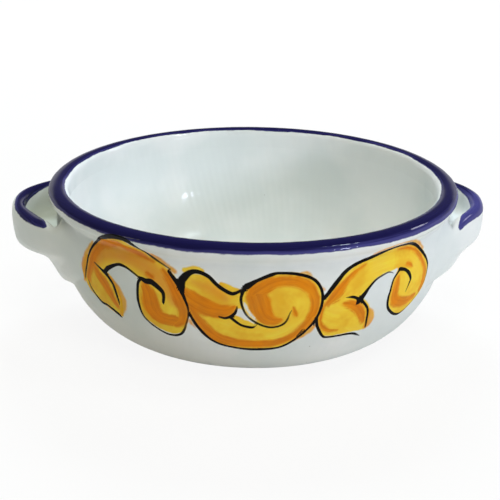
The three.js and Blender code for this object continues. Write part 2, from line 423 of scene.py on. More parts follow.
# %% Yellow patches
YELLOW_PATCHES = [
    # left volute and its leaf
    [(-110, 54), (-103.5, 66), (-96, 76), (-85, 83), (-73.5, 86), (-64, 83), (-50, 75.5), (-41.5, 69),
     (-36.5, 58), (-35.5, 46.5), (-40, 36), (-50, 34), (-61.5, 40), (-64.5, 50.5), (-63, 61), (-62, 64),
     (-70.5, 69), (-80.5, 70), (-88, 65), (-98.5, 58)],
    [(-112, 53), (-105, 67), (-93, 63.5), (-83.5, 59.5), (-79, 49.5), (-80, 40), (-83, 36), (-96.5, 40),
     (-107, 45.5), (-109.5, 50)],
    # middle
    [(-38, 64), (-33, 71.5), (-23.5, 71), (-15.5, 64.5), (-6, 63.5), (2, 70), (15, 74.5), (30.5, 72),
     (38, 62), (37.5, 49.5), (29, 36.5), (15, 28), (-9, 27.5), (-25.5, 35), (-34, 48), (-35, 55)],
    # right volute and its leaf
    [(41, 58.5), (49, 69), (65, 77), (89, 80), (108.5, 73), (118.5, 60), (117.5, 46), (104, 36.5),
     (93, 38), (84.5, 48), (86.5, 61.5), (88.5, 67.5), (80, 67.5), (71, 65.5), (66, 60), (62, 55),
     (51.5, 53.5)],
    [(39.5, 58), (46, 59.5), (53.5, 56), (64.5, 53), (69.5, 47), (71, 40), (70.5, 33.5), (62, 33.5),
     (43.5, 34), (38, 42), (37, 48), (38.5, 53)],
]
BARE_PATCHES = [
    [(-9, 51), (-7.2, 54), (-4.2, 53), (-1.2, 49), (2.5, 45), (-2, 47.2), (-6, 49.6)],
    [(-4.4, 59), (-3.2, 55), (-0.8, 51), (3, 46.8), (0.4, 51), (-2.2, 55.5)],
]
YELLOW_PATHS = [
    [(-107, 52), (-100, 64), (-90, 73), (-78, 76), (-66, 75), (-54, 70), (-46, 62), (-42, 52), (-46, 43),
     (-54, 41), (-59, 48), (-58, 56)],
    [(-104, 58), (-97, 50), (-91, 46), (-83, 39)],
    [(-35, 66), (-24, 64), (-12, 60), (-3, 62)],
    [(-33, 52), (-25, 45), (-14, 40), (0, 37), (14, 38), (26, 45), (32, 55), (29, 64), (19, 69), (10, 65),
     (8, 57), (12, 50), (19, 50), (24, 56), (20, 61)],
    [(44, 56), (52, 65), (64, 72), (80, 74), (96, 72), (108, 64), (112, 54), (106, 45), (97, 44),
     (91, 50), (91, 58)],
    [(39, 52), (50, 47), (62, 43), (72, 36)],
]
print("yellow patches:", len(YELLOW_PATCHES), "with", len(BARE_PATCHES), "bare spots")

# %% [markdown]
# The orange came over the yellow while it was wet, in broad strokes, with half their width as the third
# number. Some of the orange and of the yellow ran out past the lines, and is thinner there. On the left
# volute and the leaf beside it the yellow was laid on thicker, and fired to a deep gold.

# %% Orange strokes and what ran out
ORANGE_STROKES = [
    # left volute, then its leaf
    [(-106, 53, 2.4), (-101, 63, 2.8), (-96.5, 71.5, 2.8), (-90, 77.5, 2.8), (-82.5, 81, 3.2),
     (-75, 82.5, 3.2), (-69, 81, 2.6), (-62, 78.8, 1.8), (-54, 76, 1.0)],
    [(-48.5, 72, 1.6), (-44.5, 67.3, 2.6), (-41.3, 61, 3.2), (-39.3, 56, 3.4), (-37.8, 51, 3.2),
     (-38, 45, 3.2), (-42.5, 41, 3.4)],
    [(-60, 61.5, 2.4), (-58, 57, 4.6), (-57.2, 52, 5.6), (-56.5, 47.5, 5.6), (-53.5, 43.3, 4.8),
     (-48, 42, 4.2), (-42.5, 42.3, 3.8)],
    [(-58, 68.3, 1.8), (-55.5, 67, 1.8)],
    [(-97.5, 61, 2.2), (-92, 56.2, 3.8), (-88.5, 51.5, 3.4), (-85.8, 47, 2.8), (-83.2, 42, 1.8)],
    # middle: leaf, great curve, ring and spiral
    [(-36, 60, 4.2), (-31.5, 57, 5.8), (-26.5, 54.4, 6.0), (-21.5, 52.8, 5.2), (-17, 52.2, 4.5),
     (-12.7, 52.7, 3.4), (-9, 55, 1.6)],
    [(-33, 51, 3.0), (-28.3, 43.2, 3.6), (-23.8, 37.8, 3.9), (-18.3, 33.7, 3.9), (-10.6, 31.3, 3.6),
     (-2, 30.8, 3.0), (7, 30.8, 3.0), (15, 31.9, 2.8), (21, 34.2, 2.7), (26, 37.5, 2.6), (30, 42, 2.8),
     (33.5, 47.5, 2.8)],
    [(2, 63.5, 4.8), (7, 67.3, 4.4), (13.8, 70.3, 3.2), (21.5, 70.2, 3.0), (27.3, 68.3, 3.2),
     (31.9, 64.4, 3.2), (34.5, 58.5, 3.0), (34.7, 52.8, 2.9), (33, 47.3, 2.9)],
    [(3, 61.5, 5.8), (4.5, 57.5, 6.2), (6, 52.5, 5.6), (8.5, 48.8, 4.4), (12, 46.8, 3.2), (15.8, 47, 1.8)],
    [(22.5, 54.6, 0.8), (23.8, 51.1, 1.5), (24.5, 49.7, 1.3)],
    # right volute, then its leaf
    [(42.5, 55.5, 2.4), (46.5, 60, 3.4), (50.5, 64.8, 2.6), (54.5, 69, 1.8), (59, 72, 1.2),
     (64, 74.5, 0.7)],
    [(87, 78.2, 0.7), (94.5, 77.2, 1.1), (102, 74.3, 1.5), (108.2, 69, 1.7), (112.8, 63, 1.9),
     (116, 57, 2.2), (116.5, 51, 2.2), (115, 46, 1.8)],
    [(89, 61.5, 1.6), (88.4, 56.5, 2.8), (88.4, 51, 3.2), (90.5, 46.5, 3.6), (96.5, 43.6, 3.6),
     (103, 42.3, 3.0), (109.5, 43.2, 2.4)],
    [(95.5, 67.8, 1.2), (98.5, 66.5, 1.6), (101, 64.8, 1.0)],
    [(52.5, 53.2, 1.8), (57, 52, 3.0), (61.5, 49, 3.2), (65, 44.5, 3.0), (67.5, 38.5, 1.8)],
    [(41, 54, 0.9), (45, 54.6, 0.8), (48.5, 56, 0.6)],
    [(40, 55, 1.0), (39, 50, 1.2), (38.7, 45, 1.2), (41, 40, 1.6), (45, 37, 1.6), (51, 36, 1.0)],
]
ORANGE_SPILLS = [
    [(-99, 77, 1.0), (-104.8, 69.2, 1.9), (-108.4, 62.1, 2.2), (-112, 55.5, 2.4), (-112, 50.5, 2.0)],
    [(-86, 60.3, 1.0), (-81.5, 56.6, 1.6), (-78.5, 52.3, 2.0), (-77, 47, 2.2), (-78.5, 41.5, 1.8),
     (-82, 37, 1.0)],
    [(-58, 81.5, 0.6), (-50, 77.8, 1.1), (-41.5, 72.5, 1.2)],
    [(26, 74.4, 0.5), (29.2, 74.4, 0.9), (32, 72.2, 0.8), (36, 67.8, 0.6), (39.5, 63.3, 0.7)],
    [(-34.6, 45.1, 0.5), (-33.2, 42.2, 0.8), (-31, 39.4, 0.5)],
    [(36, 42, 0.8), (34, 39, 1.5), (30, 35.6, 1.2), (25, 32, 0.5)],
    [(70, 46.5, 0.8), (72, 42, 2.6), (72.4, 37, 3.0), (71, 33.8, 1.4)],
    [(69, 79.4, 0.4), (76, 81.4, 0.8), (86, 82.6, 1.0), (96, 81.4, 1.0), (105, 78, 1.2), (111, 73, 0.7)],
]
YELLOW_SPILLS = [
    [(-36, 74.2, 0.5), (-31, 75.8, 0.6), (-26.2, 74.8, 0.5)],
    [(-16, 68.4, 0.4), (-11.5, 66.3, 0.8), (-6.8, 64.8, 0.6)],
]
# thicker yellow on the left volute and on the leaf beside it
GOLD_STROKES = [
    [(-99, 66, 5.0), (-90, 73.5, 6.5), (-78, 77, 7.0), (-66, 75.5, 6.5), (-54, 70, 6.0), (-46, 62, 5.0),
     (-43, 54, 3.0)],
    [(-31, 68, 2.0), (-22, 65, 3.5), (-14, 60, 3.0)],
]
print("orange strokes:", len(ORANGE_STROKES), "run out:", len(ORANGE_SPILLS) + len(YELLOW_SPILLS))

# %% [markdown]
# The measures of all strokes are gathered for any set of places on the outside of the dish. The unseen
# back is taken to carry the same scroll, so places on the back are turned half round to the front first.


# %% Distances from strokes and patches
FAR = 8.0


def nearby(across, up, outline):
    """Numbers of the places inside a drawing's box, widened by the far distance."""
    low = outline[:, :2].min(0) - FAR
    high = outline[:, :2].max(0) + FAR
    return np.nonzero((across > low[0]) & (across < high[0]) & (up > low[1]) & (up < high[1]))[0]


def within(across, up, outline):
    """Even-odd rule: a place is inside if a level line from it crosses the outline an odd number of times."""
    x0, y0 = outline[:-1].T[:, :, None]
    x1, y1 = outline[1:].T[:, :, None]
    level = (y0 > up) != (y1 > up)
    crossing = x0 + (up - y0) * (x1 - x0) / np.where(y1 == y0, 1, y1 - y0)
    return (level & (across < crossing)).sum(0) % 2 == 1


def past_edge(across, up, outline):
    """Distance outside a patch's outline, negative inside it, for all the places."""
    curve = smooth_path(outline, closed=True)
    clear = np.full(len(across), FAR)
    near = nearby(across, up, curve)
    rim_line = on_wall(curve[:, 0], curve[:, 1])
    gap = stroke_measures(on_wall(across[near], up[near]), rim_line, np.zeros(len(curve)))[0]
    clear[near] = np.where(within(across[near], up[near], curve), -gap, gap)
    return clear


def strokes_measured(across, up, strokes):
    """Clearance of the nearest of some strokes, its middle line's signed distance as a share of its half
    width, that half width, and the places across and along it."""
    count = len(across)
    clear, share, half_here = (np.full(count, FAR) for _ in range(3))
    side, run = across.copy(), up.copy()
    for points in strokes:
        drawn = smooth_path(points)
        near = nearby(across, up, drawn)
        half = np.maximum(drawn[:, 2], THINNEST)
        places = on_wall(across[near], up[near])
        gap, middle, width, along = stroke_measures(places, on_wall(drawn[:, 0], drawn[:, 1]), half)
        better = gap < clear[near]
        pick = near[better]
        clear[pick] = gap[better]
        share[pick] = np.clip(middle / width, -FAR, FAR)[better]
        half_here[pick] = width[better]
        side[pick] = middle[better]
        run[pick] = along[better]
    return clear, share, half_here, side, run


print("middle of the front past the nearest black line in mm:",
      round(float(strokes_measured(np.zeros(1), np.full(1, half_height), BLACK_LINES)[0][0]), 1))

# %% Measures of the painted scroll
BROAD = 12.0
SOFT_EDGE = 1.0


def scroll_measures(angle, up):
    """What the finish reads: clearance, share across and half width of the black lines, clearance of the
    yellow, the gold, the orange and what ran out, and the places along and across the two brushes."""
    folded = (angle + np.pi / 2) % np.pi - np.pi / 2
    across = folded * WALL_RADIUS
    made = {}
    made["ink_clear"], made["ink_side"], made["ink_half"], _, _ = strokes_measured(across, up, BLACK_LINES)
    orange = strokes_measured(across, up, ORANGE_STROKES)
    made["orange_clear"], made["brush_across"], made["brush_along"] = orange[0], orange[3], orange[4]
    made["spill_clear"] = strokes_measured(across, up, ORANGE_SPILLS)[0]
    made["wash_clear"] = strokes_measured(across, up, YELLOW_SPILLS)[0]
    made["gold_clear"] = strokes_measured(across, up, GOLD_STROKES)[0]
    for patch in YELLOW_PATCHES:
        made["wash_clear"] = np.minimum(made["wash_clear"], past_edge(across, up, patch))
    for patch in BARE_PATCHES:
        made["wash_clear"] = np.maximum(made["wash_clear"], SOFT_EDGE - past_edge(across, up, patch))
    broad = [[(*point, BROAD) for point in path] for path in YELLOW_PATHS]
    made["wash_across"], made["wash_along"] = strokes_measured(across, up, broad)[3:]
    return made


print("measures:", ", ".join(scroll_measures(np.zeros(1), np.full(1, PAINT_FLOOR))))

# %% [markdown]
# ## Shader maths as arithmetic
# A finish is a net of nodes, and a net is hard to read. One small class wraps a socket, so that sums and
# products of sockets are written as Python expressions, and every other node comes from one method.


# %% Sockets that can be added and multiplied
class Signal:
    """An output socket of a finish. Arithmetic on signals adds Math nodes to its tree."""

    def __init__(self, tree, socket):
        self.tree = tree
        self.socket = socket

    def node(self, kind, settings=None, sockets=None, output=0):
        """Any other node: its type, its settings, then the values or links of its sockets."""
        made = self.tree.nodes.new(kind)
        for name, value in (settings or {}).items():
            setattr(made, name, value)
        for name, value in (sockets or {}).items():
            if isinstance(value, Signal):
                self.tree.links.new(value.socket, made.inputs[name])
            else:
                made.inputs[name].default_value = value
        return Signal(self.tree, made.outputs[output])

    def math(self, operation, first, second=0.0):
        return self.node("ShaderNodeMath", {"operation": operation}, {0: first, 1: second})

    def __add__(self, other):
        return self.math("ADD", self, other)

    def __radd__(self, other):
        return self.math("ADD", other, self)

    def __sub__(self, other):
        return self.math("SUBTRACT", self, other)

    def __rsub__(self, other):
        return self.math("SUBTRACT", other, self)

    def __mul__(self, other):
        return self.math("MULTIPLY", self, other)

    def __rmul__(self, other):
        return self.math("MULTIPLY", other, self)

    def __abs__(self):
        return self.math("ABSOLUTE", self)

    def largest(self, other):
        return self.math("MAXIMUM", self, other)

    def ease(self, start, end):
        """Smooth step: 0 before start, 1 after end. Start may be above end."""
        settings = {"interpolation_type": "SMOOTHSTEP"}
        low, high = min(start, end), max(start, end)
        step = self.node("ShaderNodeMapRange", settings, {"Value": self, "From Min": low, "From Max": high})
        return step if start < end else 1 - step

    def mix(self, first, second):
        """Colour between two colours, by this signal."""
        sockets = {0: self, 6: first, 7: second}
        return self.node("ShaderNodeMix", {"data_type": "RGBA"}, sockets, output=2)

    def attribute(self, name):
        return self.node("ShaderNodeAttribute", {"attribute_name": name}, output=2)

    def noise(self, scale, detail=2.0, rough=0.5):
        """Soft noise around 0.5 on this signal as the place, with a scale in turns to a unit."""
        sockets = {"Vector": self, "Scale": scale, "Detail": detail, "Roughness": rough}
        return self.node("ShaderNodeTexNoise", None, sockets)

    def vector(self, x, y, z=0.0):
        return self.node("ShaderNodeCombineXYZ", None, {0: x, 1: y, 2: z})


def paint(red, green, blue):
    """Colour for a socket from its usual 0 to 255 numbers: each share is raised back to linear light."""
    shares = np.array([red, green, blue]) / 255
    linear = np.where(shares <= 0.04045, shares / 12.92, ((shares + 0.055) / 1.055) ** 2.4)
    return (*(float(part) for part in linear), 1.0)


print("middle grey in linear light:", round(paint(128, 128, 128)[0], 3))

# %% [markdown]
# ## The glaze
# Tin glaze is an opaque white glass. It pools slightly, greenish where it stands in a trough, has a few
# specks, and its surface rolls a little. The ears' troughs are also darkened as painted shade, most of all
# the left one. The glaze's gloss could come from the body of the finish, but a clear coat on a matt body
# can be made weaker on the bowl, where a strong mirror would veil the paint. The colours are metal oxides
# brushed on the raw glaze, and they melt into it: a brush leaves streaks along its path, and thin paint lets
# the white through. On the right, where the window light falls, the blue is also lightened as painted sheen.

# %% Colours
WHITE = paint(236, 237, 234)
POOLED_WHITE = paint(226, 230, 227)
# greener, darker white of the ears' troughs: deeper glaze and painted shade
SHADED_POOL_WHITE = paint(206, 211, 198)
SPECK = paint(120, 104, 84)
YELLOW = paint(250, 204, 8)
PALE_YELLOW = paint(253, 226, 44)
AMBER = paint(240, 176, 8)
GOLD = paint(238, 156, 4)
ORANGE = paint(236, 136, 10)
DEEP_ORANGE = paint(212, 96, 2)
SPILT_ORANGE = paint(238, 158, 38)
BLACK = paint(9, 7, 7)
DARK_BLUE = paint(20, 17, 66)
# lighter blue: thinner paint, and painted sheen on the right where the window light falls
THIN_AND_SHEEN_BLUE = paint(66, 64, 126)
CLAY = paint(201, 164, 126)
DARK_CLAY = paint(176, 136, 100)
print("share of linear light in the white and in the blue:", round(WHITE[1], 2), round(DARK_BLUE[1], 3))

# %% Values of the finish
BOWL_GLOSS = 0.15
BLUE_GLOSS = 0.4
GLOSS_ROUGHNESS = 0.05
BODY_ROUGHNESS = 0.3
CLAY_ROUGHNESS = 0.85
ROLL_DEPTH = 0.00015
# noise, in turns to a metre
POOL_SCALE, ROLL_SCALE, WAVER_SCALE, PATCH_SCALE, GRAIN_SCALE = 16, 70, 260, 55, 900
SPECK_CELLS, SPECK_TURNS = 85.0, 31
# clearance in millimetres where a paint starts and where it is full
WASH_EDGE = (1.3, 0.3)
GOLD_EDGE = (2.0, -4.0)
ORANGE_EDGE = (1.1, -1.5)
SPILL_EDGE = (0.8, -0.8)
BLUE_EDGE = (0.3, -0.3)
CLAY_EDGE = (0.4, -0.4)
WET_START, WET_STOP = (1.0, -0.1), (-1.4, -0.3)
BLUE_RIM, LINE_REACH = (-3.0, -0.3), (0.6, 0.4)
# share across a black line where it ends, its half width from weak to full, and the weakest
LINE_EDGE, LINE_WIDTHS, WEAK_LINE = (1.1, 0.85), (0.3, 0.8), 0.73
# noise where one colour passes into the next
POOLED, PALE, AMBERED, DEEPENED, SPILT = (0.42, 0.62), (0.42, 0.72), (0.45, 0.7), (0.4, 0.6), (0.4, 0.65)
THIN_AND_SHEEN_STEP, CLAY_GRAIN = (0.1, 0.8), (0.35, 0.65)
SPECK_EDGE, SPECK_PICK, SPECK_STRENGTH = (0.045, 0.02), (0.60, 0.62), 0.7
# fineness of a brush's streaks along and across its path, then detail and roughness of their noise
BLUE_BRUSH = (0.02, 0.9, 3, 0.6)
YELLOW_BRUSH = (0.03, 0.3, 4, 0.65)
ORANGE_BRUSH = (0.04, 0.45, 4, 0.65)
print("gloss of the bowl and of the blue:", BOWL_GLOSS, BLUE_GLOSS)


# %% White, blue and black
def tin_white(place):
    """Two whites by a slow noise, and specks in the middles of a cell pattern where another noise is high."""
    colour = place.noise(POOL_SCALE, 3).ease(*POOLED).mix(WHITE, POOLED_WHITE)
    cells = place.node("ShaderNodeTexVoronoi", {"feature": "F1"}, {"Vector": place, "Scale": SPECK_CELLS})
    specks = cells.ease(*SPECK_EDGE) * place.noise(SPECK_TURNS, 0).ease(*SPECK_PICK)
    return (specks * SPECK_STRENGTH).mix(colour, SPECK)


def streaks(place, brush, along, across, detail, rough):
    """Noise drawn out along a brush's path: the lengths along and across it, each times its fineness."""
    run = place.attribute(brush + "_along") * along
    aside = place.attribute(brush + "_across") * across
    return place.vector(run, aside).noise(1.0, detail, rough)


def blue_strokes(place, colour, waver):
    """Blue inside its edge, thinner near the edge, in streaks, and lighter where the brush ran dry and
    thinner, and as painted sheen on the right, where the window light falls.
    """
    clear = place.attribute("blue_clear")
    streak = streaks(place, "blue", *BLUE_BRUSH) - 0.5
    cover = (clear + waver * 0.7 + streak * 0.8).ease(*BLUE_EDGE)
    # lighter where the measure says so: thinner paint and painted sheen
    thin = clear.ease(*BLUE_RIM) * 0.4 + place.attribute("blue_thin") + streak * 1.2
    return cover.mix(colour, thin.ease(*THIN_AND_SHEEN_STEP).mix(DARK_BLUE, THIN_AND_SHEEN_BLUE))


def black_lines(place, colour, waver):
    """Black where the share across a line is under one. Thin lines are a little weaker."""
    line = (abs(place.attribute("ink_side")) + waver * 0.25).ease(*LINE_EDGE)
    line = line * place.attribute("ink_clear").ease(*LINE_REACH)
    strength = WEAK_LINE + (1 - WEAK_LINE) * place.attribute("ink_half").ease(*LINE_WIDTHS)
    return (line * strength).mix(colour, BLACK)


print("finest waver of a painted edge in mm:", round(1 / WAVER_SCALE / MM, 1))


# %% Yellow and orange washes
def scroll_washes(place, colour, waver):
    """Yellow with paler streaks and amber patches, gold where it is thick, then orange over the yellow,
    and last what ran out past the lines."""
    wash_streak = streaks(place, "wash", *YELLOW_BRUSH)
    brush_streak = streaks(place, "brush", *ORANGE_BRUSH)
    patchy = place.noise(PATCH_SCALE, 3, 0.6)
    yellow = (wash_streak.ease(*PALE) * 0.6).mix(YELLOW, PALE_YELLOW)
    yellow = (patchy.ease(*AMBERED) * 0.8).mix(yellow, AMBER)
    gold = place.attribute("gold_clear").ease(*GOLD_EDGE) * (0.55 + 0.7 * wash_streak)
    wash = (place.attribute("wash_clear") + waver * 1.4).ease(*WASH_EDGE)
    colour = (wash * (0.9 + 0.1 * patchy)).mix(colour, gold.mix(yellow, GOLD))
    orange_clear = place.attribute("orange_clear") + waver * 1.6 + (brush_streak - 0.5) * 3.0
    orange = (brush_streak * 0.5 + patchy * 0.5).ease(*DEEPENED).mix(DEEP_ORANGE, ORANGE)
    wet_edge = orange_clear.ease(*WET_START) * orange_clear.ease(*WET_STOP)
    warm = orange_clear.ease(*ORANGE_EDGE) * (0.62 + 0.5 * patchy + 0.12 * wet_edge)
    colour = (warm * wash).mix(colour, orange)
    spill = (place.attribute("spill_clear") + waver * 1.6 + (patchy - 0.5) * 1.6).ease(*SPILL_EDGE)
    return (spill * 0.9).mix(colour, patchy.ease(*SPILT).mix(SPILT_ORANGE, AMBER))


print("patches of thicker wash in mm:", round(1 / PATCH_SCALE / MM))


# %% Glaze with what is painted in it
def glaze_finish(name, gloss, scroll=False, blue=False, bare=False, shaded_pool=False):
    """White glaze, then the washes, the blue, the black lines and the bare clay over it, in that order."""
    material = bpy.data.materials.new(name)
    material.use_nodes = True
    tree = material.node_tree
    shader = tree.nodes["Principled BSDF"]
    place = Signal(tree, tree.nodes.new("ShaderNodeTexCoord").outputs["Object"])
    waver = place.noise(WAVER_SCALE, 2) - 0.5
    roll = place.noise(ROLL_SCALE, 2)
    colour = tin_white(place)
    roughness = BODY_ROUGHNESS + 0.1 * roll
    shader.inputs["Specular IOR Level"].default_value = 0.0
    shader.inputs["Coat Weight"].default_value = gloss
    shader.inputs["Coat Roughness"].default_value = GLOSS_ROUGHNESS
    # painted shade and deeper glaze darken the ears' troughs, most of all the left one
    if shaded_pool:
        colour = place.attribute("shaded_pool").mix(colour, SHADED_POOL_WHITE)
    if scroll:
        colour = scroll_washes(place, colour, waver)
    if blue:
        colour = blue_strokes(place, colour, waver)
    if scroll:
        colour = black_lines(place, colour, waver)
    if bare:
        clay = (place.attribute("clay_clear") + waver * 2.0).ease(*CLAY_EDGE)
        grain = place.noise(GRAIN_SCALE, 4, 0.7)
        colour = clay.mix(colour, grain.ease(*CLAY_GRAIN).mix(CLAY, DARK_CLAY))
        roughness = roughness + clay * (CLAY_ROUGHNESS - BODY_ROUGHNESS)
        tree.links.new((gloss - gloss * clay).socket, shader.inputs["Coat Weight"])
    rolled = place.node("ShaderNodeBump", None, {"Strength": 1.0, "Distance": ROLL_DEPTH, "Height": roll})
    tree.links.new(colour.socket, shader.inputs["Base Color"])
    tree.links.new(roughness.socket, shader.inputs["Roughness"])
    tree.links.new(rolled.socket, shader.inputs["Normal"])
    print(name, "has", len(tree.nodes), "nodes")
    return material


bowl_glaze = glaze_finish("white_glaze_with_scroll", BOWL_GLOSS, scroll=True, bare=True)
rim_glaze = glaze_finish("blue_glaze_on_rim", BLUE_GLOSS, scroll=True, blue=True)
handle_glaze = glaze_finish("white_glaze_with_blue_stroke", BLUE_GLOSS, blue=True, shaded_pool=True)

# %% [markdown]
# ## The bowl
# The bowl is one skin: out along the foot, up the belly to the seat of the rim, over it, and down inside
# to the middle of the floor. Turning the outline gives a grid that is closed round the dish, with a fan
# of triangles at the middle of the foot and of the floor. On the flat plan, the painted front and back
# take a broad strip each, because their lines are fine.

# %% Points and measures of the bowl
WIPED_EDGE = 4.0
bowl_r, bowl_a, bowl_z = turned_grid(BOWL_ROWS[1:-1])
bowl_shape = bowl_r.shape
poles = np.array([[0, 0, 0], [0, 0, FLOOR_HEIGHT]])
bowl_points = np.vstack([placed(bowl_r, bowl_a, bowl_z).reshape(-1, 3), poles])
first_painted = len(bowl_stretches[0]) + len(bowl_stretches[1]) - 3
last_outside = first_painted + len(bowl_stretches[2]) - 1
outside = np.repeat(np.arange(bowl_shape[0]) <= last_outside, bowl_shape[1])
bowl_measures = {}
for label, values in scroll_measures(bowl_a.ravel()[outside], bowl_z.ravel()[outside]).items():
    bowl_measures[label] = np.full(len(bowl_points), FAR)
    bowl_measures[label][: len(outside)][outside] = values
underneath = outside & (bowl_z.ravel() <= CLOSE)
clay_clear = np.where(underneath, bowl_r.ravel() - (BASE_RADIUS - WIPED_EDGE), FAR)
bowl_measures["clay_clear"] = np.concatenate([clay_clear, [-FAR, FAR]])
print("points on the outside of the bowl:", int(outside.sum()))

# %% Plan of the bowl
MARGIN = 0.005
DISC_SPAN = 0.21
FOOT_CENTRE = np.array([0.22, 0.78])
INSIDE_CENTRE = np.array([0.65, 0.78])
SIDES_LEFT = 0.875
half = PAINT_HALF_ANGLE
BAND_STRIPS = [
    # columns, angles at their two ends, then the left, right, low and high edge on the plan
    (SIDE_COLUMNS, half - np.pi, -half, SIDES_LEFT, 1 - MARGIN, 0.57, 0.77),
    (PAINT_COLUMNS, -half, half, MARGIN, 1 - MARGIN, MARGIN, 0.275),
    (SIDE_COLUMNS, half, np.pi - half, SIDES_LEFT, 1 - MARGIN, 0.785, 0.985),
    (PAINT_COLUMNS, np.pi - half, np.pi + half, MARGIN, 1 - MARGIN, 0.285, 0.555),
]
whole_run = running_length(BOWL_ROWS)
run = whole_run[1:-1]
foot_scale = DISC_SPAN / run[first_painted]
inside_scale = DISC_SPAN / (whole_run[-1] - run[last_outside])
wide_angles = np.append(ANGLES, ANGLES[0] + 2 * np.pi)


def strip(angle, length, start_angle, end_angle, left, right, low, high):
    """Place on the plan in a level strip: angle runs from left to right, and length from low to high."""
    across = (angle - start_angle) / (end_angle - start_angle)
    up = (length - run[first_painted]) / (run[last_outside] - run[first_painted])
    return np.stack([blend(left, right, across), blend(low, high, up)], -1)


def disc(angle, length, centre, scale):
    """Place on the plan in a disc: the running length from its pole is the distance from its middle."""
    return centre + scale * length[..., None] * np.stack([np.sin(angle), np.cos(angle)], -1)


corner_rows, corner_columns = grid_squares(*bowl_shape, False, True)
square_angle = wide_angles[corner_columns]
square_run = run[corner_rows]
row = corner_rows[:, :1, None]
column = corner_columns[:, :1, None]
inside_plan = disc(square_angle, whole_run[-1] - square_run, INSIDE_CENTRE, inside_scale)
foot_plan = disc(square_angle, square_run, FOOT_CENTRE, foot_scale)
square_plan = np.where(row >= last_outside, inside_plan, foot_plan)
first = 0
for count, *edges in BAND_STRIPS:
    mine = (row >= first_painted) & (row < last_outside) & (column >= first) & (column < first + count)
    square_plan = np.where(mine, strip(square_angle, square_run, *edges), square_plan)
    first += count
print("squares on the bowl's plan:", len(square_plan))

# %% Mesh of the bowl
bowl_squares = corner_rows * bowl_shape[1] + corner_columns % bowl_shape[1]
column = np.arange(bowl_shape[1])
following = (column + 1) % bowl_shape[1]
last_row = (bowl_shape[0] - 1) * bowl_shape[1]
foot_pole, floor_pole = np.full_like(column, len(bowl_points) - 2), np.full_like(column, len(bowl_points) - 1)
foot_fan = np.stack([foot_pole, following, column], 1)
floor_fan = np.stack([floor_pole, last_row + column, last_row + following], 1)
here, there = wide_angles[:-1], wide_angles[1:]
pole_angle = (here + there) / 2
from_pole = np.array([0, 1, 1])
foot_run = run[0] * from_pole
floor_run = (whole_run[-1] - run[-1]) * from_pole
foot_fan_plan = disc(np.stack([pole_angle, there, here], 1), foot_run, FOOT_CENTRE, foot_scale)
floor_fan_plan = disc(np.stack([pole_angle, here, there], 1), floor_run, INSIDE_CENTRE, inside_scale)
bowl = make_piece(
    "painted_bowl", bowl_points, [bowl_squares, foot_fan, floor_fan],
    [square_plan, foot_fan_plan, floor_fan_plan], bowl_measures, bowl_glaze,
)
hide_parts("bowl_body")

# %% [markdown]
# ## The rolled rim
# The rim was rolled outwards while the clay was soft, and banded in blue on a turning wheel: the brush
# stands still and the dish turns. So the band's edges run nearly level, a little lower on the right, and
# waver. The section is a closed loop of rows, and the band is a range of lengths round that loop. On the
# right shoulder the blue ran thin, and it is lighter there also as painted sheen, where the window light
# falls.

# %% Points and measures of the rim
BLUE_OUTER_HEIGHT = 86.9
BLUE_INNER_RADIUS = 115.0
BLUE_DROP, BLUE_TILT = 0.25, 0.8
# waves of the band's two edges: size in millimetres, number round the dish and start
OUTER_WAVES = [(0.2, 5, 0.4), (0.15, 13, 1.9), (0.1, 29, 0.0)]
INNER_WAVES = [(0.35, 4, 2.2), (0.2, 11, 0.0), (0.15, 23, 1.0)]
# right shoulder of the rim, facing the window light: thinner blue and painted sheen
THIN_AND_SHEEN_TOWARDS = math.radians(60)
THIN_AND_SHEEN_FROM, THIN_AND_SHEEN_FULL, THIN_AND_SHEEN_DOWN, THIN_AND_SHEEN_SHARE = 4.0, 7.0, 2.0, 0.8
rim_r, rim_a, rim_z = turned_grid(RIM_ROWS)
rim_shape = rim_r.shape
rim_points = placed(rim_r, rim_a, rim_z).reshape(-1, 3)
rim_run = running_length(RIM_ROWS)
outer_part = slice(0, len(rim_stretches[0]) + len(rim_stretches[1]) - 1)
lip_part = slice(outer_part.stop - 1, outer_part.stop + len(rim_stretches[2]) - 1)
outer_edge = np.interp(BLUE_OUTER_HEIGHT, RIM_ROWS[outer_part, 1], rim_run[outer_part])
inner_edge = np.interp(-BLUE_INNER_RADIUS, -RIM_ROWS[lip_part, 0], rim_run[lip_part])
outer_line = outer_edge + waves_round(OUTER_WAVES, ANGLES, np.sin) - BLUE_DROP - BLUE_TILT * np.sin(ANGLES)
inner_line = inner_edge + waves_round(INNER_WAVES, ANGLES, np.sin)
rim_length = np.repeat(rim_run[:, None], len(ANGLES), axis=1)
rim_measures = scroll_measures(rim_a.ravel(), rim_z.ravel())
inner_rows = np.repeat(np.arange(rim_shape[0]) >= outer_part.stop, rim_shape[1])
for label in ("ink_clear", "wash_clear", "orange_clear", "spill_clear"):
    rim_measures[label][inner_rows] = FAR
rim_measures["blue_along"] = rim_a * WALL_RADIUS
rim_measures["blue_across"] = rim_length
rim_measures["blue_clear"] = np.maximum(outer_line - rim_length, rim_length - inner_line)
shoulder = np.clip((rim_r - CREST_RADIUS - THIN_AND_SHEEN_FROM) / (THIN_AND_SHEEN_FULL - THIN_AND_SHEEN_FROM), 0, 1)
shoulder = shoulder * (rim_z > WIDEST_HEIGHT - THIN_AND_SHEEN_DOWN)
rim_measures["blue_thin"] = THIN_AND_SHEEN_SHARE * np.clip(np.cos(rim_a - THIN_AND_SHEEN_TOWARDS), 0, 1) * shoulder
print("blue band round the section in mm:", round(float(outer_edge), 1), "to", round(float(inner_edge), 1))

